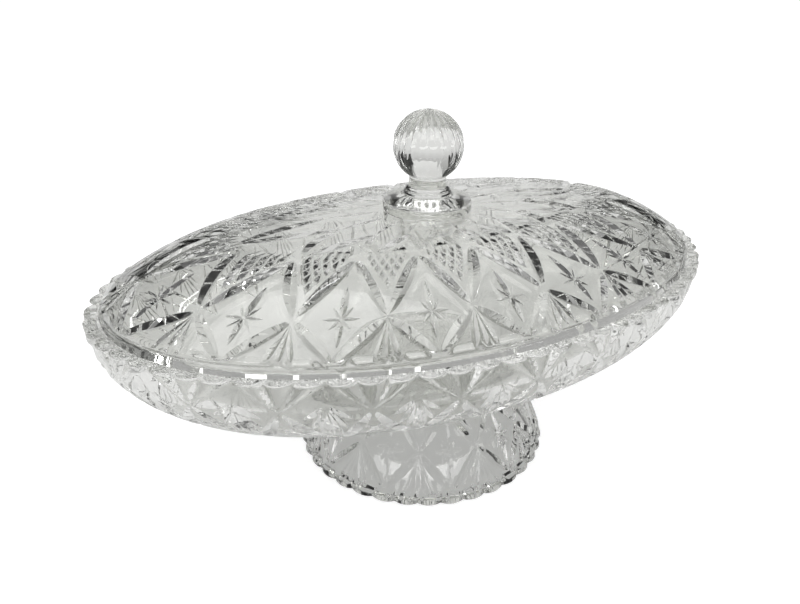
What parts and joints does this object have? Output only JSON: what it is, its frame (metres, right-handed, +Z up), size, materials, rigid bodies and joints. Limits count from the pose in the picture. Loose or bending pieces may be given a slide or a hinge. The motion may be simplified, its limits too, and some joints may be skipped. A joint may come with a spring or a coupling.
{
  "type": "covered dish",
  "caption": "Covered oval serving dish of clear pressed glass: a footed bowl with a scalloped rim and a domed lid that lifts straight off by its ball knob.",
  "frame": {"origin": "middle of the foot's base, on the surface that the dish stands on", "axes": "+X along the oval's length, +Y across it, +Z up"},
  "size_m": [0.2898, 0.187, 0.1605],
  "materials": {
    "foot_glass": "clear pressed glass",
    "bowl_glass": "clear pressed glass",
    "lid_glass": "clear pressed glass",
    "knob_glass": "clear pressed glass"
  },
  "bodies": {
    "dish": {"bowl": "bowl_glass", "foot": "foot_glass"},
    "lid": {"lid": "lid_glass", "knob": "knob_glass"}
  },
  "joints": [
    {"name": "lid_lift", "type": "slide", "parent": "dish", "child": "lid", "axis": [0, 0, 1], "range_m": [0, 0.12]}
  ]
}
